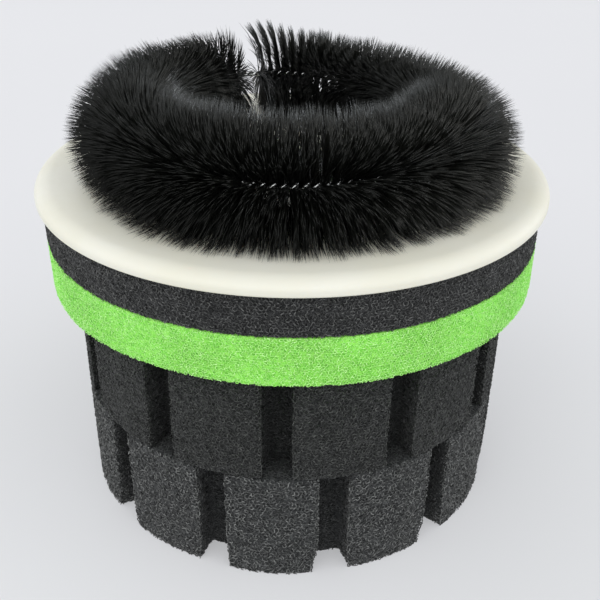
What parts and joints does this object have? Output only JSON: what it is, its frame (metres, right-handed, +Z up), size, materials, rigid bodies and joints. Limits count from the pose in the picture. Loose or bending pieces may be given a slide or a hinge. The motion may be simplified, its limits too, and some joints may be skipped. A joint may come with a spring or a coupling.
{
  "type": "pond filter media stack",
  "caption": "Pond filter sponge stack: toothed foam rings, green and black flat foam rings, a white cover plate and a brush ring round one centre hole.",
  "frame": {"origin": "on the centre line of the rings, at the bottom face of the lower toothed ring that the stack stands on", "axes": "+Z up along the centre hole; -Y is the front as pictured; +X to the viewer's right; the brush's gap is at the back, turned towards -X"},
  "size_m": [0.21, 0.21, 0.184],
  "materials": {
    "coarse_foam": "matte",
    "black_foam": "matte",
    "green_foam": "matte",
    "white_plastic": "satin",
    "bristle": "satin",
    "steel_wire": "polished"
  },
  "bodies": {
    "lower_foam": {"toothed_foam_lower": "coarse_foam"},
    "upper_foam": {"toothed_foam_upper": "coarse_foam"},
    "green_foam": {"green_foam_ring": "green_foam"},
    "black_foam": {"black_foam_ring": "black_foam"},
    "plate": {"cover_plate": "white_plastic"},
    "brush": {"brush_bristles": "bristle", "brush_wire_a": "steel_wire", "brush_wire_b": "steel_wire"}
  },
  "joints": [
    {"name": "lift_upper_foam", "type": "slide", "parent": "lower_foam", "child": "upper_foam", "axis": [0, 0, 1], "range_m": [0, 0.05]},
    {"name": "lift_green_foam", "type": "slide", "parent": "upper_foam", "child": "green_foam", "axis": [0, 0, 1], "range_m": [0, 0.03]},
    {"name": "lift_black_foam", "type": "slide", "parent": "green_foam", "child": "black_foam", "axis": [0, 0, 1], "range_m": [0, 0.03]},
    {"name": "lift_plate", "type": "slide", "parent": "black_foam", "child": "plate", "axis": [0, 0, 1], "range_m": [0, 0.03]},
    {"name": "lift_brush", "type": "slide", "parent": "plate", "child": "brush", "axis": [0, 0, 1], "range_m": [0, 0.06]}
  ]
}
